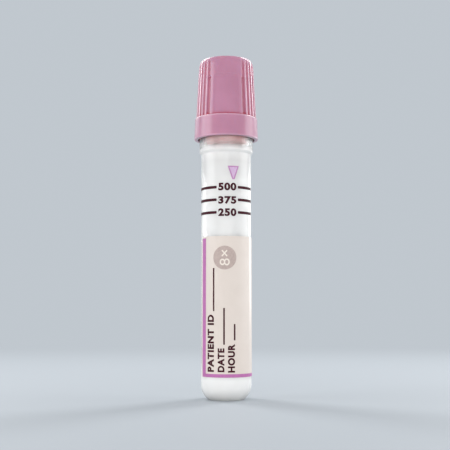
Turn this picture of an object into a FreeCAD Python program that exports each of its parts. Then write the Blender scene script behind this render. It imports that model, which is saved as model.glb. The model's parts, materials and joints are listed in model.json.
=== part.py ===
"""Blood collection tube with a pull-off closure, in millimetres, +Z up.

The tube is one clear moulding with the 13 x 75 mm outside of a standard tube and a short sample well
held up inside it: a wide mouth, a funnel and a narrow well above, and a core hole from below that
leaves the well its floor. A label is wrapped round the lower half. The closure is a fluted shell that
carries a pierceable rubber stopper, and the two lift off together.

The origin is the centre of the ring that the tube stands on. The front faces -Y.
"""

import FreeCAD
import Part

import math
import os

from FreeCAD import Vector

# Tube, outside
TUBE_RADIUS = 6.5
TUBE_LENGTH = 75.0
BOTTOM_ROUND = 4.7  # radius of the rounded end, before the foot cuts it flat
FOOT_WIDTH = 0.75  # of the ring that the tube stands on, round the core hole
FOOT_SOFTENING = 0.1
NECK_HEIGHT = 4.0  # bare neck between the collar and the rim
COLLAR_HEIGHT = 7.9
COLLAR_STEP = 0.65  # how far the top of the collar stands out from the wall
COLLAR_TAPER = 0.2  # the collar is that much narrower at its lower edge
COLLAR_BEVEL = 0.6
COLLAR_SOFTENING = 0.1
RIM_SOFTENING = 0.25

# Tube, inside
RIM_WALL = 0.75  # between the mouth and the outside, at the rim
MOUTH_DEPTH = 14.0
MOUTH_DRAFT = 0.1  # narrowing from the rim to the funnel
FUNNEL_DEPTH = 4.0
FUNNEL_BLEND = 1.5
WELL_RADIUS = 3.55
WELL_DEPTH = 33.5  # from the rim to the floor of the well
WELL_CORNER = 1.2
WELL_FLOOR = 1.0
CORE_RADIUS = 3.85  # core hole, at the foot
CORE_DRAFT = 0.2
CORE_CORNER = 0.8

# Label
LABEL_WIDTH = 31.0  # laid flat, measured round the tube
LABEL_HEIGHT = 35.6
LABEL_BOTTOM = 5.9  # above the foot
LABEL_THICKNESS = 0.1
LABEL_START = -68.0  # degrees from the front, towards +X
LABEL_CORNER = 0.5

# Cap shell, outside
SKIRT_DROP = 7.9  # from the rim down to the shell's lower edge
BAND_COVER = 1.1  # how far the band runs on above the bore of the skirt
SKIRT_WALL = 0.9  # at the lower edge
BAND_TAPER = 0.2
BAND_ROUND = 0.3
BAND_SHOULDER = 0.2
CROWN_RISE = 13.0  # from the rim up to the shell's top
GRIP_WALL = 1.17  # at the top of the band
GRIP_TAPER = 0.0535  # narrowing for each millimetre of height
EDGE_HEIGHT = 2.8  # the elliptical edge of the crown
EDGE_WIDTH = 0.88

# Cap shell, grip
FLUTES_PER_SIDE = 11
FIRST_FLUTE = 37.06  # degrees from the front and the back, which stay smooth up to here
FLUTE_OUTSET = 0.15  # from the cone out to the line that each flute is turned about
FLUTE_RADIUS = 0.45
DEEP_FLUTE_RADIUS = 0.65  # beside the thumb rests
DEEP_FLUTE_END = 0.4  # length over which it narrows to the others' radius
DEEP_FLUTE_BLEND = 0.5
FLUTE_SHOULDER = 0.15  # rounding of the edges of the flutes, where the ridges have room for it
THUMB_RISE = 9.7  # from the band to the top of the thumb rests' floor and of the deep flutes
THUMB_HALF_ANGLE = 21.0  # of the rest's floor
THUMB_DEPTH = 0.2
THUMB_HOLLOW = 2.4  # radius of the hollow slopes round the floor

# Cap shell, inside
SKIRT_CLEARANCE = 0.3  # round the tube's collar
NECK_CLEARANCE = 0.2  # round the tube's neck
SHOULDER_GAP = 0.6  # above the tube's collar
RING_HEIGHT = 1.6  # the ring that holds the stopper by its waist
RING_LEDGE = 0.9  # how far the ring reaches in from the recess above it
UPPER_WALL = 1.6  # between the recess and the cone of the grip, at the top
RECESS_DRAFT = 0.25
RECESS_ROUND = 0.35

# Stopper
SEAL_CLEARANCE = 0.03  # between the plug and the mouth
PLUG_LENGTH = 9.0
PLUG_CHAMFER = 0.5
FLANGE_HEIGHT = 1.6
HEAD_HEIGHT = 2.4
HEAD_CLEARANCE = 0.15
HEAD_ROUND = 0.4
HEAD_RIM = 1.85  # round the dish
DISH_DEPTH = 2.0
DISH_FLARE = 1.0  # the dish is that much wider at its top than at its floor
PLUG_WALL = 2.95  # round the blind hole under the septum, at its mouth
BLIND_DRAFT = 0.5
SEPTUM = 4.2  # rubber left between the dish and the blind hole
SEPTUM_BLEND = 0.8

# Radii that pieces share
FOOT_RADIUS = CORE_RADIUS + FOOT_WIDTH
MOUTH_RADIUS = TUBE_RADIUS - RIM_WALL
COLLAR_RADIUS = TUBE_RADIUS + COLLAR_STEP
SKIRT_BORE = COLLAR_RADIUS + SKIRT_CLEARANCE
NECK_BORE = TUBE_RADIUS + NECK_CLEARANCE
BAND_RADIUS = SKIRT_BORE + SKIRT_WALL
GRIP_RADIUS = NECK_BORE + GRIP_WALL

# Heights that pieces share
RIM = TUBE_LENGTH
COLLAR_TOP = RIM - NECK_HEIGHT
SHELL_BOTTOM = RIM - SKIRT_DROP
BORE_TOP = COLLAR_TOP + SHOULDER_GAP  # where the bore of the skirt ends
BAND_TOP = BORE_TOP + BAND_COVER
GRIP_BOTTOM = (SHELL_BOTTOM + BAND_TOP) / 2  # the grip's root inside the band
SHELL_TOP = RIM + CROWN_RISE
FLANGE_TOP = RIM + FLANGE_HEIGHT
RING_TOP = FLANGE_TOP + RING_HEIGHT
HEAD_TOP = RING_TOP + HEAD_HEIGHT

# The recess follows the outside of the grip, and the ring's hole follows the recess
RECESS_TOP_RADIUS = GRIP_RADIUS - GRIP_TAPER * (SHELL_TOP - BAND_TOP) - UPPER_WALL
RECESS_RADIUS = RECESS_TOP_RADIUS - RECESS_DRAFT
RING_RADIUS = RECESS_RADIUS - RING_LEDGE

AXIS = Vector(0, 0, 1)
ORIGIN = Vector(0, 0, 0)
PAST = 1.0  # how far a cutting tool runs past the face it opens


def rounded_outline(corners):
    """Closed wire in the XZ plane. Each corner is (radius, height) or (radius, height, rounding)."""
    points = [Vector(corner[0], 0, corner[1]) for corner in corners]
    arcs = []
    for i, corner in enumerate(corners):
        here, before, after = points[i], points[i - 1], points[(i + 1) % len(points)]
        if len(corner) == 2:
            arcs.append((here, None, here))
            continue
        back = (before - here).normalize()
        on = (after - here).normalize()
        half = back.getAngle(on) / 2
        inward = (back + on).normalize()
        centre = here + inward * (corner[2] / math.sin(half))
        reach = corner[2] / math.tan(half)
        arcs.append((here + back * reach, centre - inward * corner[2], here + on * reach))
    edges = []
    for i, (start, middle, end) in enumerate(arcs):
        if middle is not None:
            edges.append(Part.Arc(start, middle, end).toShape())
        following = arcs[(i + 1) % len(arcs)][0]
        edges.append(Part.makeLine(end, following))
    return Part.Wire(edges)


def turned(corners, angle=360):
    """Solid of revolution about the tube's axis."""
    return Part.Face(rounded_outline(corners)).revolve(ORIGIN, AXIS, angle)


def at_height(solid, height):
    """The edges of a solid that lie in one horizontal plane."""
    flat = [e for e in solid.Edges if e.BoundBox.ZLength < 1e-6]
    return [e for e in flat if abs(e.BoundBox.ZMin - height) < 1e-6]


def turn_from_front(shape, degrees):
    """Turns a shape made in the XZ plane, at +X, to an angle measured from the front towards +X."""
    return shape.rotated(ORIGIN, AXIS, degrees - 90)


def mouth_radius_at(height):
    """Radius of the tube's mouth, which narrows from the rim to the funnel."""
    return MOUTH_RADIUS - MOUTH_DRAFT * (RIM - height) / MOUTH_DEPTH


def grip_radius_at(height):
    """Radius of the shell's conical grip, over the flutes."""
    return GRIP_RADIUS - GRIP_TAPER * (height - BAND_TOP)


def tube():
    """The one-piece moulding: outside, mouth with funnel and well, and the core hole from below."""
    centre_radius = TUBE_RADIUS - BOTTOM_ROUND
    round_height = math.sqrt(BOTTOM_ROUND**2 - (FOOT_RADIUS - centre_radius) ** 2)
    end = round_height - BOTTOM_ROUND
    collar_bottom = COLLAR_TOP - COLLAR_HEIGHT
    outside = turned(
        [
            (0, end),
            (TUBE_RADIUS, end, BOTTOM_ROUND),
            (TUBE_RADIUS, collar_bottom),
            (COLLAR_RADIUS - COLLAR_TAPER, collar_bottom + COLLAR_BEVEL, COLLAR_SOFTENING),
            (COLLAR_RADIUS, COLLAR_TOP - COLLAR_BEVEL),
            (TUBE_RADIUS, COLLAR_TOP),
            (TUBE_RADIUS, RIM, RIM_SOFTENING),
            (0, RIM),
        ]
    )
    foot_cut = Part.makeCylinder(TUBE_RADIUS + PAST, RIM + PAST)
    well_floor = RIM - WELL_DEPTH
    funnel_top = RIM - MOUTH_DEPTH
    bore = turned(
        [
            (0, well_floor),
            (WELL_RADIUS, well_floor, WELL_CORNER),
            (WELL_RADIUS, funnel_top - FUNNEL_DEPTH, FUNNEL_BLEND),
            (mouth_radius_at(funnel_top), funnel_top, FUNNEL_BLEND),
            (mouth_radius_at(RIM + PAST), RIM + PAST),
            (0, RIM + PAST),
        ]
    )
    core_top = well_floor - WELL_FLOOR
    core = turned(
        [
            (0, -PAST),
            (CORE_RADIUS, -PAST),
            (CORE_RADIUS - CORE_DRAFT, core_top, CORE_CORNER),
            (0, core_top),
        ]
    )
    body = outside.common(foot_cut).cut(bore).cut(core)
    body = body.makeFillet(FOOT_SOFTENING, at_height(body, 0))
    inner_rim = min(at_height(body, RIM), key=lambda edge: edge.BoundBox.XLength)
    return body.makeFillet(RIM_SOFTENING, [inner_rim])


def label():
    """A film label wrapped round the tube, with its corners rounded."""
    wrap = math.degrees(LABEL_WIDTH / TUBE_RADIUS)
    outer = TUBE_RADIUS + LABEL_THICKNESS
    top = LABEL_BOTTOM + LABEL_HEIGHT
    section = [(TUBE_RADIUS, LABEL_BOTTOM), (outer, LABEL_BOTTOM), (outer, top), (TUBE_RADIUS, top)]
    film = turned(section, wrap)
    corners = [e for e in film.Edges if e.Length < 1.5 * LABEL_THICKNESS]
    return turn_from_front(film.makeFillet(LABEL_CORNER, corners), LABEL_START)


def flute_angles():
    """Angles of the flutes on one side, from the front: an even pitch, with none at the front and back."""
    pitch = (180 - 2 * FIRST_FLUTE) / (FLUTES_PER_SIDE - 1)
    return [FIRST_FLUTE + i * pitch for i in range(FLUTES_PER_SIDE)]


def flute(angle, outline):
    """Cutter for one flute: an outline turned about a line that lies along the cone, just outside it.

    The outline's corners are (radius, height above the grip's root along that line, rounding).
    """
    upright = turned(outline)
    tilted = upright.rotated(ORIGIN, Vector(0, 1, 0), -math.degrees(math.atan(GRIP_TAPER)))
    root = Vector(grip_radius_at(GRIP_BOTTOM) + FLUTE_OUTSET, 0, GRIP_BOTTOM)
    return turn_from_front(tilted.translated(root), angle)


def flute_cutters():
    """Cutters for the flutes of one side. The first and last are deeper, up to the thumb rests' height."""
    past_top = SHELL_TOP - GRIP_BOTTOM + PAST
    rod = [(0, -PAST), (FLUTE_RADIUS, -PAST), (FLUTE_RADIUS, past_top), (0, past_top)]
    end = BAND_TOP + THUMB_RISE - GRIP_BOTTOM
    stepped_rod = [
        (0, -PAST),
        (DEEP_FLUTE_RADIUS, -PAST),
        (DEEP_FLUTE_RADIUS, end, DEEP_FLUTE_BLEND),
        (FLUTE_RADIUS, end + DEEP_FLUTE_END, DEEP_FLUTE_BLEND),
        (FLUTE_RADIUS, past_top),
        (0, past_top),
    ]
    first, *between, last = flute_angles()
    deep = [flute(angle, stepped_rod) for angle in (first, last)]
    return deep + [flute(angle, rod) for angle in between]


def crown_profile():
    """Half section of the grip without flutes: the cone runs on smoothly into an elliptical edge."""
    tilt = math.atan(GRIP_TAPER * EDGE_HEIGHT / EDGE_WIDTH)
    edge_bottom = SHELL_TOP - EDGE_HEIGHT * (1 - math.sin(tilt))
    edge_radius = grip_radius_at(edge_bottom)
    centre = Vector(edge_radius - EDGE_WIDTH * math.cos(tilt), 0, SHELL_TOP - EDGE_HEIGHT)
    crest = centre + AXIS * EDGE_HEIGHT
    ellipse = Part.Ellipse(crest, centre + Vector(EDGE_WIDTH, 0, 0), centre)
    root = Vector(0, 0, GRIP_BOTTOM)
    root_edge = Vector(grip_radius_at(GRIP_BOTTOM), 0, GRIP_BOTTOM)
    edges = [
        Part.makeLine(root, root_edge),
        Part.makeLine(root_edge, Vector(edge_radius, 0, edge_bottom)),
        Part.ArcOfEllipse(ellipse, 0, math.pi / 2 - tilt).toShape(),
        Part.makeLine(crest, Vector(0, 0, SHELL_TOP)),
        Part.makeLine(Vector(0, 0, SHELL_TOP), root),
    ]
    return Part.Wire(Part.sortEdges(edges)[0])


def is_skin(face):
    """True for the faces of the elliptical crown and of the upright cone below it."""
    surface = face.Surface
    upright_cone = isinstance(surface, Part.Cone) and abs(surface.Axis.z) > 1 - 1e-6
    return upright_cone or isinstance(surface, Part.SurfaceOfRevolution)


def flute_edges(body):
    """The edges where the flutes meet the cone and the crown."""
    skin = [face for face in body.Faces if is_skin(face)]
    flutes = [face for face in body.Faces if not is_skin(face) and not isinstance(face.Surface, Part.Plane)]
    flute_sides = [edge for face in flutes for edge in face.Edges]
    return [edge for face in skin for edge in face.Edges if any(edge.isSame(e) for e in flute_sides)]


def shoulder_rounding():
    """Rounding of the flutes' edges, held to the width of the ridge beside a deep flute."""
    half_widths = [math.sqrt(radius**2 - FLUTE_OUTSET**2) for radius in (FLUTE_RADIUS, DEEP_FLUTE_RADIUS)]
    first, second, *_ = flute_angles()
    pitch = math.radians(second - first) * grip_radius_at(BAND_TOP + THUMB_RISE)
    return min(FLUTE_SHOULDER, 0.6 * (pitch - sum(half_widths)))


def grip():
    """The conical part of the shell, solid: flutes at the sides, a rounded crown, thumb rests.

    It starts inside the band, which closes the lower ends of its flutes and rests.
    """
    cone = turn_from_front(Part.Face(crown_profile()).revolve(ORIGIN, AXIS, 360), 0)
    right = flute_cutters()
    left = [cutter.rotated(ORIGIN, AXIS, 180) for cutter in right]
    body = cone.cut(right + left)
    body = body.makeFillet(shoulder_rounding(), flute_edges(body))
    rest = thumb_rest()
    return body.cut([rest, rest.rotated(ORIGIN, AXIS, 180)])


def thumb_rest():
    """Cutter for the shallow rest at the front: its floor follows the cone, with hollow slopes round it."""
    slope = math.degrees(math.asin(THUMB_HOLLOW / (GRIP_RADIUS - THUMB_DEPTH + THUMB_HOLLOW)))
    half = THUMB_HALF_ANGLE + slope
    bottom, top = GRIP_BOTTOM - PAST, BAND_TOP + THUMB_RISE + THUMB_HOLLOW
    floor_bottom = (grip_radius_at(bottom) - THUMB_DEPTH, bottom)
    floor_top = (grip_radius_at(top) - THUMB_DEPTH, top)
    outer = GRIP_RADIUS + THUMB_HOLLOW + PAST
    sector = turned([floor_bottom, (outer, bottom), (outer, top), floor_top], 2 * half)
    floor = next(face for face in sector.Faces if isinstance(face.Surface, Part.Cone))
    rounded = [e for e in floor.Edges if e.BoundBox.ZMax > bottom + 1e-6]
    rounded += [e for e in at_height(sector, top) if isinstance(e.Curve, Part.Line)]
    return turn_from_front(sector.makeFillet(THUMB_HOLLOW, rounded), -half)


def shell_inside():
    """The space inside the shell: skirt, neck bore, the ring's hole and the recess above it."""
    lower = turned(
        [
            (0, SHELL_BOTTOM - PAST),
            (SKIRT_BORE, SHELL_BOTTOM - PAST),
            (SKIRT_BORE, BORE_TOP),
            (NECK_BORE, BORE_TOP + SKIRT_BORE - NECK_BORE),
            (NECK_BORE, FLANGE_TOP),
            (0, FLANGE_TOP),
        ]
    )
    hole = Part.makeCylinder(RING_RADIUS, RING_HEIGHT, Vector(0, 0, FLANGE_TOP))
    recess = turned(
        [
            (0, RING_TOP),
            (RECESS_RADIUS, RING_TOP),
            (RECESS_TOP_RADIUS, SHELL_TOP),
            (RECESS_TOP_RADIUS, SHELL_TOP + PAST),
            (0, SHELL_TOP + PAST),
        ]
    )
    return lower.fuse([hole, recess])


def cap_shell():
    """The moulded shell: a plain band below, the fluted grip above, open at both ends."""
    band = turned(
        [
            (0, SHELL_BOTTOM),
            (BAND_RADIUS, SHELL_BOTTOM, BAND_ROUND),
            (BAND_RADIUS - BAND_TAPER, BAND_TOP, BAND_SHOULDER),
            (0, BAND_TOP),
        ]
    )
    body = band.fuse(grip()).cut(shell_inside())
    mouth = min(at_height(body, SHELL_TOP), key=lambda edge: edge.BoundBox.XLength)
    return body.makeFillet(RECESS_ROUND, [mouth])


def stopper():
    """The rubber stopper: plug, flange on the rim, waist in the shell's ring, and dished head."""
    plug_bottom = RIM - PLUG_LENGTH
    plug_radius = mouth_radius_at(plug_bottom) - SEAL_CLEARANCE
    blind_radius = plug_radius - PLUG_WALL
    head = RECESS_RADIUS - HEAD_CLEARANCE
    dish_radius = head - HEAD_RIM
    dish_bottom = HEAD_TOP - DISH_DEPTH
    blind_top = dish_bottom - SEPTUM
    return turned(
        [
            (0, blind_top),
            (blind_radius - BLIND_DRAFT, blind_top, SEPTUM_BLEND),
            (blind_radius, plug_bottom),
            (plug_radius - PLUG_CHAMFER, plug_bottom),
            (plug_radius, plug_bottom + PLUG_CHAMFER),
            (mouth_radius_at(RIM) - SEAL_CLEARANCE, RIM),
            (TUBE_RADIUS, RIM),
            (TUBE_RADIUS, FLANGE_TOP),
            (RING_RADIUS, FLANGE_TOP),
            (RING_RADIUS, RING_TOP),
            (head, RING_TOP),
            (head, HEAD_TOP, HEAD_ROUND),
            (dish_radius, HEAD_TOP, HEAD_ROUND),
            (dish_radius - DISH_FLARE, dish_bottom, SEPTUM_BLEND),
            (0, dish_bottom),
        ]
    )


def main():
    """Builds each piece and writes it to parts/."""
    os.makedirs("parts", exist_ok=True)
    pieces = {"tube": tube(), "label": label(), "cap_shell": cap_shell(), "stopper": stopper()}
    for name, shape in pieces.items():
        print(f"{name}: solids {len(shape.Solids)}, valid {shape.isValid()}, {shape.Volume:.2f} mm3")
        shape.exportStep(f"parts/{name}.step")


if __name__ == "__main__":
    main()
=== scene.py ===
"""Looks of the blood collection tube: its plastics, its printed scale and label, and a small studio.

The frame brings the tube, the label, the cap shell and the stopper. This file gives each its material,
prints the marks on the wall and on the label, and adds a floor, soft lamps and the camera.
Lengths are in metres. Angles are degrees round the tube, from the front towards +X.
"""

import contextlib
import json
import math

import bpy
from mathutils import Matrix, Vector


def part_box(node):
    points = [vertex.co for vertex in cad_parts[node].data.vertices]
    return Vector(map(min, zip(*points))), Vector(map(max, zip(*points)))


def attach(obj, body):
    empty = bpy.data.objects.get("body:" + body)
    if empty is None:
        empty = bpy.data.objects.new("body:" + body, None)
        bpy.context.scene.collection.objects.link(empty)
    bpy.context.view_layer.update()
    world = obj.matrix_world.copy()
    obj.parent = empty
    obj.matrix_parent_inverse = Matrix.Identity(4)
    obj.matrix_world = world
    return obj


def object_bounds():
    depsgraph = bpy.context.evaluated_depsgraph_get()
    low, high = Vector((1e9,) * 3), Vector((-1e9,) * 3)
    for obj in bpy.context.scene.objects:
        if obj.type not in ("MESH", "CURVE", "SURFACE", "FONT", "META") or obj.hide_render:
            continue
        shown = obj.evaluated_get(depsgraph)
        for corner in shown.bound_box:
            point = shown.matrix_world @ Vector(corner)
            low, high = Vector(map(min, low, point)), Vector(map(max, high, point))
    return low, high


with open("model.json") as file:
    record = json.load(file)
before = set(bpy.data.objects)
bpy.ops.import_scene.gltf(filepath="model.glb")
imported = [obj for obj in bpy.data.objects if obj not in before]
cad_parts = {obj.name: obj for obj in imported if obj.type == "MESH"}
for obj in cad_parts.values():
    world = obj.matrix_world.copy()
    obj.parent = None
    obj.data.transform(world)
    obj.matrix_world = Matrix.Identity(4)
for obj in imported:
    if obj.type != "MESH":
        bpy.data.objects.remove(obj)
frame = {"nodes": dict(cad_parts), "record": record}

CAD_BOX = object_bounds()

MM = 0.001
X, Z = 0, 2

# The wall and the label, as the frame has them
BARREL = next(mount for mount in frame["record"]["mounts"] if mount["name"] == "barrel")
WALL = BARREL["dims"]["r_mm"] * MM
LABEL_LOW, LABEL_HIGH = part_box("label")
FILM = [vertex.co for vertex in frame["nodes"]["label"].data.vertices]
LABEL_FACE = max(math.hypot(co.x, co.y) for co in FILM)
BARE_STRIP = -120.0  # an angle beside the label, where the wall is bare and the count of angles starts
FILM_ANGLES = [(math.degrees(math.atan2(co.x, -co.y)) - BARE_STRIP) % 360 + BARE_STRIP for co in FILM]
LABEL_START, LABEL_END = min(FILM_ANGLES), max(FILM_ANGLES)

# All print
INK = 0.025 * MM  # how far print stands off what it is printed on
SUNK = 0.012 * MM  # and how far it reaches in, so that no gap shows
STRIP = 0.35 * MM  # longest straight run in print that goes round the tube
SAME_POINT = 0.001 * MM  # points nearer to each other than this are merged
SHARP = 30.0  # edges that turn by more degrees than this stay sharp
LETTER_WEIGHT = 0.05  # how much letters are fattened, against their size
LETTER_SPACING = 1.12

# Fill scale: microlitres, height of the line, and how far the digits sit above the line's middle
MARKS = (
    (500, 53.99 * MM, 0.10 * MM),
    (375, 50.77 * MM, -0.12 * MM),
    (250, 47.54 * MM, 0.0),
)
MARK_LINE = 0.7 * MM
MARK_ROUNDING = 0.2 * MM
MARK_SIDES = {"left": (-100.0, -22.0), "right": (27.0, 76.0)}  # angles where the lines start and end
DIGITS_ANGLE = 2.6
DIGITS_WIDTH = 4.7 * MM
DIGITS_HEIGHT = 2.0 * MM

# Pointer over the scale
POINTER_ANGLE = 16.4
POINTER_HEIGHT = 57.7 * MM
POINTER_WIDTH = 3.0 * MM
POINTER_LENGTH = 3.45 * MM
POINTER_TIP = 0.6 * MM
POINTER_BAND = 0.32 * MM

# The label's border: a broad bar at the left and a thin line along the foot
BAR_LEFT = LABEL_START + 3.0
BAR_RIGHT = -51.5
BAR_TOP_GAP = 0.45 * MM
FOOT_RIGHT = LABEL_END - 0.3
FOOT_LINE = 0.85 * MM
FOOT_GAP = 0.05 * MM
NEAR = 0.01 * MM  # how near a point counts as being on an edge

# Write-on lines that read upwards: name, words, angles of the letters' tops and feet, heights of both ends
WRITE_ON = (
    ("name", "PATIENT ID", -45.6, -27.6, 7.3 * MM, 33.4 * MM),
    ("date", "DATE", -19.4, -3.6, 7.3 * MM, 23.3 * MM),
    ("hour", "HOUR", 3.2, 19.9, 7.2 * MM, 19.3 * MM),
)
LETTER_SHARE = 0.95  # of the space between those two angles
RULE_LINE = 0.4 * MM
RULE_GAP = 0.9 * MM  # between the last letter and the rule
RULE_INSET = 1.2  # degrees from the letters' feet in towards their tops

# Round spot that says how often the tube is turned for mixing
SPOT_ANGLE = -3.4
SPOT_HEIGHT = 36.0 * MM
SPOT_RADIUS = 3.0 * MM
TURNS_LENGTH = 4.0 * MM
TURNS_HEIGHT = 2.55 * MM

# Studio: name, place, width, height, watts, and whether it shows in glossy surfaces
LAMPS = (
    ("left_softbox", (-0.42, -0.09, 0.19), 0.36, 0.24, 0.64, True),
    ("right_softbox", (0.43, 0.02, 0.13), 0.30, 0.26, 0.58, True),
    ("left_rim", (-0.26, 0.28, 0.34), 0.16, 0.36, 1.1, True),
    ("right_rim", (0.26, 0.28, 0.34), 0.16, 0.36, 1.1, True),
    ("left_strip", (-0.26, 0.28, 0.065), 0.12, 0.10, 0.03, True),
    ("right_strip", (0.26, 0.28, 0.065), 0.12, 0.10, 0.20, True),
    ("front_fill", (0.0, -0.65, 0.08), 0.9, 0.14, 2.85, False),
)
BACKDROP = (0.53, 0.575, 0.62)
WORLD_FILL = 0.58
FLOOR_RADIUS = 3.0
FLOOR_TONE = 0.8  # the floor's own colour against the backdrop's
FLOOR_FADE = (0.05, 0.33)  # distances between which the floor turns into the backdrop

# Camera, which stands low and looks up a little
CAMERA_PLACE = (-0.31 * MM, -232 * MM, 23.3 * MM)
CAMERA_TILT = 94.445  # degrees, where 90 is level
CAMERA_SENSOR = 36.0
CAMERA_LENS = 71.557
CAMERA_SHIFT = 0.03
CAMERA_NEAR = 10 * MM


# ---------------------------------------------------------------- working by hand

def deselect():
    bpy.ops.object.select_all(action="DESELECT")


def pick(piece):
    """Selects one piece and nothing else."""
    deselect()
    piece.select_set(True)
    bpy.context.view_layer.objects.active = piece


def freeze(piece):
    """Puts a piece's place, turn and scale into its mesh."""
    pick(piece)
    bpy.ops.object.transform_apply(location=True, rotation=True, scale=True)


@contextlib.contextmanager
def editing(piece, everything=True):
    """Edit mode on one piece, with all of it selected or with its selection as it is."""
    pick(piece)
    bpy.ops.object.mode_set(mode="EDIT")
    if everything:
        bpy.ops.mesh.select_all(action="SELECT")
    yield
    bpy.ops.object.mode_set(mode="OBJECT")


def extent(piece, axis):
    values = [vertex.co[axis] for vertex in piece.data.vertices]
    return min(values), max(values)


def stand_up(piece):
    """Stands a flat piece up, so that it faces the front."""
    piece.rotation_euler.x = math.pi / 2
    freeze(piece)


def turn_upward(piece):
    """Turns a standing piece a quarter, so that words read from the foot upwards."""
    piece.rotation_euler.y = -math.pi / 2
    freeze(piece)


def card(name, width, height):
    """A flat rectangle that faces the front, centred on the origin."""
    deselect()
    bpy.ops.mesh.primitive_plane_add(size=1)
    piece = bpy.context.object
    piece.name = name
    piece.scale = (width, height, 1)
    stand_up(piece)
    return piece


def disc(name, radius, corners):
    """A round flat piece that lies on the ground, centred on the origin."""
    deselect()
    bpy.ops.mesh.primitive_circle_add(vertices=corners, radius=radius, fill_type="NGON")
    piece = bpy.context.object
    piece.name = name
    return piece


def lettering(name, words, weight=LETTER_WEIGHT, spacing=LETTER_SPACING):
    """Words as a flat mesh that faces the front."""
    deselect()
    bpy.ops.object.text_add()
    text = bpy.context.object
    text.name = name
    text.data.body = words
    text.data.offset = weight
    text.data.space_character = spacing
    text.data.resolution_u = 6
    pick(text)
    bpy.ops.object.convert(target="MESH")
    piece = bpy.context.object
    stand_up(piece)
    return piece


def fit(piece, height, width=None):
    """Scales a standing piece to a height, and if asked to a width too, and centres it on the origin."""
    (left, right), (low, high) = extent(piece, X), extent(piece, Z)
    up = height / (high - low)
    across = width / (right - left) if width else up
    piece.scale = (across, 1, up)
    piece.location = (-(left + right) / 2 * across, 0, -(low + high) / 2 * up)
    freeze(piece)


def raised_copy(piece, name, rise):
    """A copy with a mesh of its own, higher or lower than the first."""
    pick(piece)
    bpy.ops.object.duplicate()
    copy = bpy.context.object
    copy.name = name
    copy.location.z = rise
    freeze(copy)
    return copy


def round_corners(piece, radius):
    with editing(piece):
        bpy.ops.mesh.bevel(offset=radius, segments=4, affect="VERTICES")


def apply_modifier(piece, kind, **settings):
    """Adds a modifier to the active piece and applies it."""
    bpy.ops.object.modifier_add(type=kind)
    modifier = piece.modifiers[-1]
    for name, value in settings.items():
        setattr(modifier, name, value)
    bpy.ops.object.modifier_apply(modifier=modifier.name)


def wrap(piece, wall, angle, height, lift=0.0):
    """Curls a standing piece round the tube, with its middle at an angle and a height, and thickens it.

    It is cut into upright strips, bent to the wall's radius, drawn in or out to its own, turned and
    raised to its place, and then given the ink's thickness.
    """
    left, right = extent(piece, X)
    cuts = math.ceil((right - left) / STRIP)
    with editing(piece):
        bpy.ops.mesh.remove_doubles(threshold=SAME_POINT)
        for i in range(1, cuts):
            bpy.ops.mesh.select_all(action="SELECT")
            cut = left + (right - left) * i / cuts
            bpy.ops.mesh.bisect(plane_co=(cut, 0, 0), plane_no=(1, 0, 0))
    apply_modifier(piece, "SIMPLE_DEFORM", deform_method="BEND", deform_axis="Z", angle=(right - left) / wall)
    piece.location = (0, -wall, 0)
    freeze(piece)
    draw = (wall - SUNK + lift) / wall
    piece.scale = (draw, draw, 1)
    piece.rotation_euler.z = math.radians(angle)
    piece.location = (0, 0, height)
    freeze(piece)
    apply_modifier(piece, "SOLIDIFY", thickness=INK + SUNK, offset=1)
    bpy.ops.object.shade_smooth_by_angle(angle=math.radians(SHARP))


def arc(wall, start, end):
    """Length along the wall between two angles."""
    return math.radians(end - start) * wall


# ---------------------------------------------------------------- nodes

MIX_FACTOR, MIX_FIRST, MIX_SECOND, MIX_RESULT = 0, 6, 7, 2  # sockets of a Mix node that mixes colours
RAMP_HEIGHT = 100 * MM  # height over which a ramp runs from end to end


class Nodes:
    """The nodes of a material or of the world, with short ways to add and join them."""

    def __init__(self, owner):
        owner.use_nodes = True
        self.tree = owner.node_tree

    def __getitem__(self, name):
        return self.tree.nodes[name]

    def add(self, kind, sockets=None, **options):
        """A new node, with values for its sockets and for its own options."""
        node = self.tree.nodes.new(kind)
        for name, value in options.items():
            setattr(node, name, value)
        for name, value in (sockets or {}).items():
            node.inputs[name].default_value = value
        return node

    def join(self, output, entry):
        self.tree.links.new(output, entry)


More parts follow.
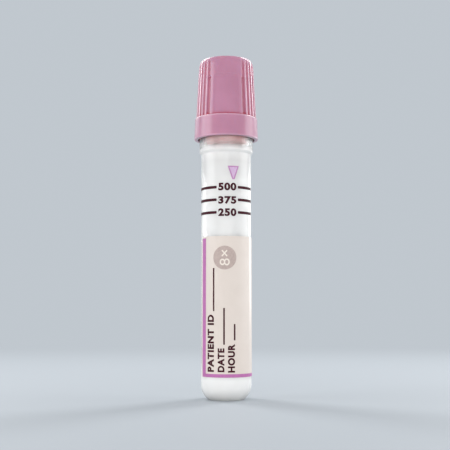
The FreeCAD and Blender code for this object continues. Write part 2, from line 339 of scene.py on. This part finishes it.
class Finish(Nodes):
    """A new material: its shader, and patterns that lie in the object's own coordinates."""

    def __init__(self, name):
        self.material = bpy.data.materials.new(name)
        super().__init__(self.material)
        self.shader = self["Principled BSDF"]
        self.place = self.add("ShaderNodeTexCoord").outputs["Object"]

    def even(self, values):
        """Sets sockets of the shader that are the same all over."""
        for name, value in values.items():
            self.shader.inputs[name].default_value = value

    def feed(self, name, source):
        """Lets a pattern drive a socket of the shader."""
        self.join(source, self.shader.inputs[name])

    def grain(self, scale, detail=3.0):
        """A soft random pattern round 0.5."""
        noise = self.add("ShaderNodeTexNoise", {"Scale": scale, "Detail": detail, "Roughness": 0.55})
        self.join(self.place, noise.inputs["Vector"])
        return noise.outputs["Fac"]

    def span(self, source, low, high, start=0.0, end=1.0, **options):
        """A number that runs from start to end while the source runs from low to high."""
        limits = {"From Min": low, "From Max": high, "To Min": start, "To Max": end}
        node = self.add("ShaderNodeMapRange", limits, **options)
        self.join(source, node.inputs["Value"])
        return node.outputs["Result"]

    def vary(self, pattern, low, high):
        """Turns a grain, most of which lies from 0.3 to 0.7, into a number between two others."""
        return self.span(pattern, 0.3, 0.7, low, high)

    def ramp(self, source, levels):
        """A colour that follows a number through a list of levels."""
        node = self.add("ShaderNodeValToRGB")
        stops = node.color_ramp.elements
        while len(stops) < len(levels):
            stops.new(0.5)
        for stop, (position, colour) in zip(stops, levels):
            stop.position = position
            stop.color = (*colour, 1)
        self.join(source, node.inputs["Fac"])
        return node.outputs["Color"]

    def two_tones(self, pattern, first, second):
        """Lets a grain mix two colours."""
        return self.ramp(pattern, ((0.35, first), (0.65, second)))

    def by_height(self, levels):
        """A number that follows the height above the foot through a list of levels."""
        split = self.add("ShaderNodeSeparateXYZ")
        self.join(self.place, split.inputs["Vector"])
        share = self.add("ShaderNodeMath", operation="MULTIPLY")
        self.join(split.outputs["Z"], share.inputs[0])
        share.inputs[1].default_value = 1 / RAMP_HEIGHT
        greys = [(height / RAMP_HEIGHT, (value, value, value)) for height, value in levels]
        return self.ramp(share.outputs["Value"], greys)

    def blend(self, source, low, high, first, second):
        """Goes from a plain colour to one from another node as a number runs from low to high."""
        node = self.add("ShaderNodeMix", data_type="RGBA")
        self.join(self.span(source, low, high), node.inputs[MIX_FACTOR])
        node.inputs[MIX_FIRST].default_value = (*first, 1)
        self.join(second, node.inputs[MIX_SECOND])
        return node.outputs[MIX_RESULT]

    def openness(self, reach, inside=False):
        """1 where nothing is near, less down in a groove or, from inside, where the piece is thin."""
        node = self.add("ShaderNodeAmbientOcclusion", {"Distance": reach}, samples=8, inside=inside)
        return node.outputs["AO"]

    def uneven(self, pattern, strength, depth):
        """Gives the surface a fine relief."""
        bump = self.add("ShaderNodeBump", {"Strength": strength, "Distance": depth})
        self.join(pattern, bump.inputs["Height"])
        self.feed("Normal", bump.outputs["Normal"])


# ---------------------------------------------------------------- materials

# How clear the tube is by height: milkiest where the foot's curve ends, clearest at the neck
CLARITY = (
    (0.5 * MM, 0.50),
    (3.0 * MM, 0.25),
    (5.0 * MM, 0.15),
    (10.0 * MM, 0.42),
    (61.0 * MM, 0.40),
    (63.6 * MM, 0.24),
    (65.2 * MM, 0.90),
)

# The two tones that a grain mixes
MILK = ((0.965, 0.95, 0.92), (0.985, 0.975, 0.955))
WARM_WHITE = ((0.665, 0.588, 0.532), (0.685, 0.608, 0.552))
LAVENDER = ((0.42, 0.178, 0.268), (0.455, 0.198, 0.298))
DUSTY_RED = ((0.94, 0.33, 0.335), (0.97, 0.39, 0.40))

# Painted shade and painted highlight on the lavender: dark red down in the grooves, pale along thin edges
GROOVE_SHADE_RED = (0.36, 0.025, 0.06)
EDGE_HIGHLIGHT_PALE = (0.82, 0.60, 0.73)


def tube_plastic():
    """The tube: milky translucent plastic, faintly clouded, under a glossy skin."""
    finish = Finish("milky_tube_plastic")
    clouds = finish.grain(scale=160)
    skin = finish.grain(scale=2600, detail=2)
    finish.even({
        "IOR": 1.49,
        "Subsurface Weight": 0.4,
        "Subsurface Scale": 4 * MM,
        "Subsurface Radius": (1.0, 1.0, 1.0),
        "Coat Weight": 0.35,
        "Coat Roughness": 0.08,
    })
    finish.feed("Transmission Weight", finish.by_height(CLARITY))
    finish.feed("Base Color", finish.two_tones(clouds, *MILK))
    finish.feed("Roughness", finish.vary(clouds, 0.21, 0.26))
    finish.uneven(skin, strength=0.05, depth=0.05 * MM)
    return finish.material


def label_film():
    """The label: satin film of a warm white, with a very fine grain."""
    finish = Finish("label_film")
    clouds = finish.grain(scale=220)
    fibre = finish.grain(scale=5200, detail=4)
    finish.even({"Coat Weight": 0.3, "Coat Roughness": 0.22})
    finish.feed("Base Color", finish.two_tones(clouds, *WARM_WHITE))
    finish.feed("Roughness", finish.vary(fibre, 0.40, 0.52))
    finish.uneven(fibre, strength=0.12, depth=0.03 * MM)
    return finish.material


def cap_plastic():
    """The cap: glossy dusty lavender, with painted shade that turns it dark red down in its flutes and a
    painted highlight that makes it paler along its thin edges.
    """
    finish = Finish("lavender_cap_plastic")
    clouds = finish.grain(scale=140)
    skin = finish.grain(scale=1800)
    groove_shade = finish.openness(reach=1.0 * MM)
    edge_highlight_mask = finish.openness(reach=0.5 * MM, inside=True)
    finish.even({
        "Subsurface Weight": 0.12,
        "Subsurface Scale": 1.5 * MM,
        "Coat Weight": 0.6,
        "Coat Roughness": 0.12,
    })
    face = finish.two_tones(clouds, *LAVENDER)
    # painted shade: the lavender turns dark red where the grooves shut out light
    groove_shaded = finish.blend(groove_shade, 0.76, 0.92, GROOVE_SHADE_RED, face)
    # painted highlight: the lavender turns pale along thin edges and ridges
    edge_highlighted = finish.blend(edge_highlight_mask, 0.50, 0.93, EDGE_HIGHLIGHT_PALE, groove_shaded)
    finish.feed("Base Color", edge_highlighted)
    finish.feed("Roughness", finish.vary(skin, 0.29, 0.38))
    finish.uneven(skin, strength=0.06, depth=0.06 * MM)
    return finish.material


def stopper_rubber():
    """The stopper: matt dusty-red rubber with a fine speckle."""
    finish = Finish("dusty_red_rubber")
    clouds = finish.grain(scale=600)
    speck = finish.grain(scale=4500)
    finish.even({"Sheen Weight": 0.15})
    finish.feed("Base Color", finish.two_tones(clouds, *DUSTY_RED))
    finish.feed("Roughness", finish.vary(speck, 0.62, 0.8))
    finish.uneven(speck, strength=0.2, depth=0.06 * MM)
    return finish.material


def ink(name, colour, spread, roughness=(0.37, 0.50)):
    """Printing ink: one colour, made darker and lighter in a fine mottle by a share of itself."""
    finish = Finish(name)
    mottle = finish.grain(scale=1900)
    darker = tuple(c * (1 - spread) for c in colour)
    lighter = tuple(c * (1 + spread) for c in colour)
    finish.even({"Specular IOR Level": 0.15})
    finish.feed("Base Color", finish.two_tones(mottle, darker, lighter))
    finish.feed("Roughness", finish.vary(mottle, *roughness))
    finish.uneven(mottle, strength=0.08, depth=0.02 * MM)
    return finish.material


FRAME_FINISHES = {
    "tube": tube_plastic(),
    "label": label_film(),
    "cap_shell": cap_plastic(),
    "stopper": stopper_rubber(),
}
for node, material in FRAME_FINISHES.items():
    for entry in frame["nodes"][node].material_slots:
        entry.material = material

DARK_INK = ink("dark_maroon_ink", (0.048, 0.007, 0.013), 0.12, roughness=(0.55, 0.68))
PURPLE_INK = ink("purple_border_ink", (0.455, 0.155, 0.375), 0.06)
GREY_INK = ink("warm_grey_ink", (0.455, 0.368, 0.338), 0.07)
CREAM_INK = ink("cream_ink", (0.76, 0.69, 0.62), 0.03)
LILAC_INK = ink("lilac_ink", (0.58, 0.41, 0.59), 0.05)
LILAC_EDGE_INK = ink("lilac_edge_ink", (0.46, 0.22, 0.42), 0.05)


# ---------------------------------------------------------------- print

def printed(piece, colour):
    """Inks a finished piece of print, which stays on the tube."""
    piece.data.materials.clear()
    piece.data.materials.append(colour)
    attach(piece, "tube")


def scale_line(volume, side, level):
    """A line to one side of the digits, with rounded corners."""
    start, end = MARK_SIDES[side]
    line = card(f"mark_{volume}_{side}", arc(WALL, start, end), MARK_LINE)
    round_corners(line, MARK_ROUNDING)
    wrap(line, WALL, (start + end) / 2, level)
    return line


def scale_digits(volume, level):
    digits = lettering(f"digits_{volume}", str(volume))
    fit(digits, DIGITS_HEIGHT, DIGITS_WIDTH)
    wrap(digits, WALL, DIGITS_ANGLE, level)
    return digits


def fill_scale():
    """The levels, each with two lines and its digits. The lower lines are copies of the top ones."""
    top_volume, top, _ = MARKS[0]
    top_lines = {side: scale_line(top_volume, side, top) for side in MARK_SIDES}
    pieces = list(top_lines.values())
    for volume, level, raised in MARKS:
        if volume != top_volume:
            for side, line in top_lines.items():
                pieces.append(raised_copy(line, f"mark_{volume}_{side}", level - top))
        pieces.append(scale_digits(volume, level + raised))
    for piece in pieces:
        printed(piece, DARK_INK)


def pointer():
    """A blunt triangle that points down at the scale: an edge band and a paler middle."""
    band = card("pointer_edge", POINTER_WIDTH, POINTER_LENGTH)
    for vertex in band.data.vertices:
        if vertex.co.z < 0:
            vertex.co.x = math.copysign(POINTER_TIP / 2, vertex.co.x)
    with editing(band):
        bpy.ops.mesh.inset(thickness=POINTER_BAND)
        bpy.ops.mesh.separate(type="SELECTED")
    middle = next(piece for piece in bpy.context.selected_objects if piece != band)
    middle.name = "pointer_edge_middle"
    for piece, colour in ((band, LILAC_EDGE_INK), (middle, LILAC_INK)):
        wrap(piece, WALL, POINTER_ANGLE, POINTER_HEIGHT)
        printed(piece, colour)


def corner_border():
    """The purple border: a line along the label's foot, whose left end is drawn up into a broad bar."""
    border = card("label_border", arc(LABEL_FACE, BAR_LEFT, FOOT_RIGHT), FOOT_LINE)
    corner = extent(border, X)[0] + arc(LABEL_FACE, BAR_LEFT, BAR_RIGHT)
    top = extent(border, Z)[1]
    with editing(border):
        bpy.ops.mesh.bisect(plane_co=(corner, 0, 0), plane_no=(1, 0, 0))
        bpy.ops.mesh.select_all(action="DESELECT")
    for edge in border.data.edges:
        ends = [border.data.vertices[i].co for i in edge.vertices]
        if all(co.z > top - NEAR and co.x < corner + NEAR for co in ends):
            edge.select = True
    rise = LABEL_HIGH.z - LABEL_LOW.z - FOOT_GAP - FOOT_LINE - BAR_TOP_GAP
    with editing(border, everything=False):
        bpy.ops.mesh.extrude_region_move(TRANSFORM_OT_translate={"value": (0, 0, rise)})
    wrap(border, LABEL_FACE, (BAR_LEFT + FOOT_RIGHT) / 2, LABEL_LOW.z + FOOT_GAP + FOOT_LINE / 2)
    printed(border, PURPLE_INK)


def write_on_line(name, words, top, baseline, low, high):
    """Words that read upwards from a low end, and a rule from there to a high end."""
    letters = lettering(f"label_word_{name}", words)
    fit(letters, LETTER_SHARE * arc(LABEL_FACE, top, baseline))
    turn_upward(letters)
    foot, head = extent(letters, Z)
    length = head - foot
    wrap(letters, LABEL_FACE, (top + baseline) / 2, low + length / 2)
    printed(letters, DARK_INK)
    start = low + length + RULE_GAP
    rule = card(f"label_rule_{name}", RULE_LINE, high - start)
    wrap(rule, LABEL_FACE, baseline - RULE_INSET, (start + high) / 2)
    printed(rule, DARK_INK)


def mixing_spot():
    """A grey spot with the number of turns on it, which reads upwards."""
    spot = disc("label_spot", SPOT_RADIUS, corners=64)
    stand_up(spot)
    wrap(spot, LABEL_FACE, SPOT_ANGLE, SPOT_HEIGHT)
    printed(spot, GREY_INK)
    turns = lettering("label_spot_number", "8×", weight=0.0, spacing=1.0)
    fit(turns, TURNS_HEIGHT, TURNS_LENGTH)
    turn_upward(turns)
    wrap(turns, LABEL_FACE, SPOT_ANGLE, SPOT_HEIGHT, lift=INK)
    printed(turns, CREAM_INK)


fill_scale()
pointer()
corner_border()
for line in WRITE_ON:
    write_on_line(*line)
mixing_spot()


# ---------------------------------------------------------------- studio

AIM = Vector((0, 0, (CAD_BOX[0][Z] + CAD_BOX[1][Z]) / 2))  # half way up the object


def lamp(name, place, width, height, watts, in_gloss):
    """A soft rectangular lamp that faces the object."""
    bpy.ops.object.light_add(type="AREA", location=place)
    light = bpy.context.object
    light.name = name
    light.data.shape = "RECTANGLE"
    light.data.size, light.data.size_y = width, height
    light.data.energy = watts
    light.rotation_euler = (AIM - Vector(place)).to_track_quat("-Z", "Y").to_euler()
    light.visible_glossy = in_gloss


def studio_world():
    """White fill light on the object, and the backdrop's colour where rays look, mirror or pass through."""
    world = bpy.data.worlds.new("studio")
    bpy.context.scene.world = world
    nodes = Nodes(world)
    backdrop = nodes["Background"]
    backdrop.inputs["Color"].default_value = (*BACKDROP, 1)
    backdrop.inputs["Strength"].default_value = 1.0
    fill = nodes.add("ShaderNodeBackground", {"Color": (1, 1, 1, 1), "Strength": WORLD_FILL})
    path = nodes.add("ShaderNodeLightPath")
    shows = path.outputs["Is Camera Ray"]
    for kind in ("Is Glossy Ray", "Is Transmission Ray"):
        either = nodes.add("ShaderNodeMath", operation="MAXIMUM")
        nodes.join(shows, either.inputs[0])
        nodes.join(path.outputs[kind], either.inputs[1])
        shows = either.outputs["Value"]
    mix = nodes.add("ShaderNodeMixShader")
    nodes.join(shows, mix.inputs["Fac"])
    nodes.join(fill.outputs["Background"], mix.inputs[1])
    nodes.join(backdrop.outputs["Background"], mix.inputs[2])
    nodes.join(mix.outputs["Shader"], nodes["World Output"].inputs["Surface"])


def floor_paint():
    """Pale paint that holds the object's shadow, and turns into the backdrop further out."""
    finish = Finish("pale_floor")
    finish.even({
        "Base Color": (*(FLOOR_TONE * c for c in BACKDROP), 1),
        "Roughness": 0.6,
        "Specular IOR Level": 0.2,
    })
    glow = finish.add("ShaderNodeEmission", {"Color": (*BACKDROP, 1)})
    distance = finish.add("ShaderNodeVectorMath", operation="LENGTH")
    finish.join(finish.place, distance.inputs[0])
    fade = finish.span(distance.outputs["Value"], *FLOOR_FADE, interpolation_type="SMOOTHSTEP")
    mix = finish.add("ShaderNodeMixShader")
    finish.join(fade, mix.inputs["Fac"])
    finish.join(finish.shader.outputs["BSDF"], mix.inputs[1])
    finish.join(glow.outputs["Emission"], mix.inputs[2])
    finish.join(mix.outputs["Shader"], finish["Material Output"].inputs["Surface"])
    return finish.material


for row in LAMPS:
    lamp(*row)
studio_world()

floor = disc("floor", FLOOR_RADIUS, corners=96)
floor.data.materials.append(floor_paint())

bpy.ops.object.camera_add(location=CAMERA_PLACE, rotation=(math.radians(CAMERA_TILT), 0, 0))
camera = bpy.context.object
camera.data.sensor_width = CAMERA_SENSOR
camera.data.lens = CAMERA_LENS
camera.data.shift_y = CAMERA_SHIFT
camera.data.clip_start = CAMERA_NEAR
bpy.context.scene.camera = camera
bpy.context.scene.view_settings.view_transform = "Standard"
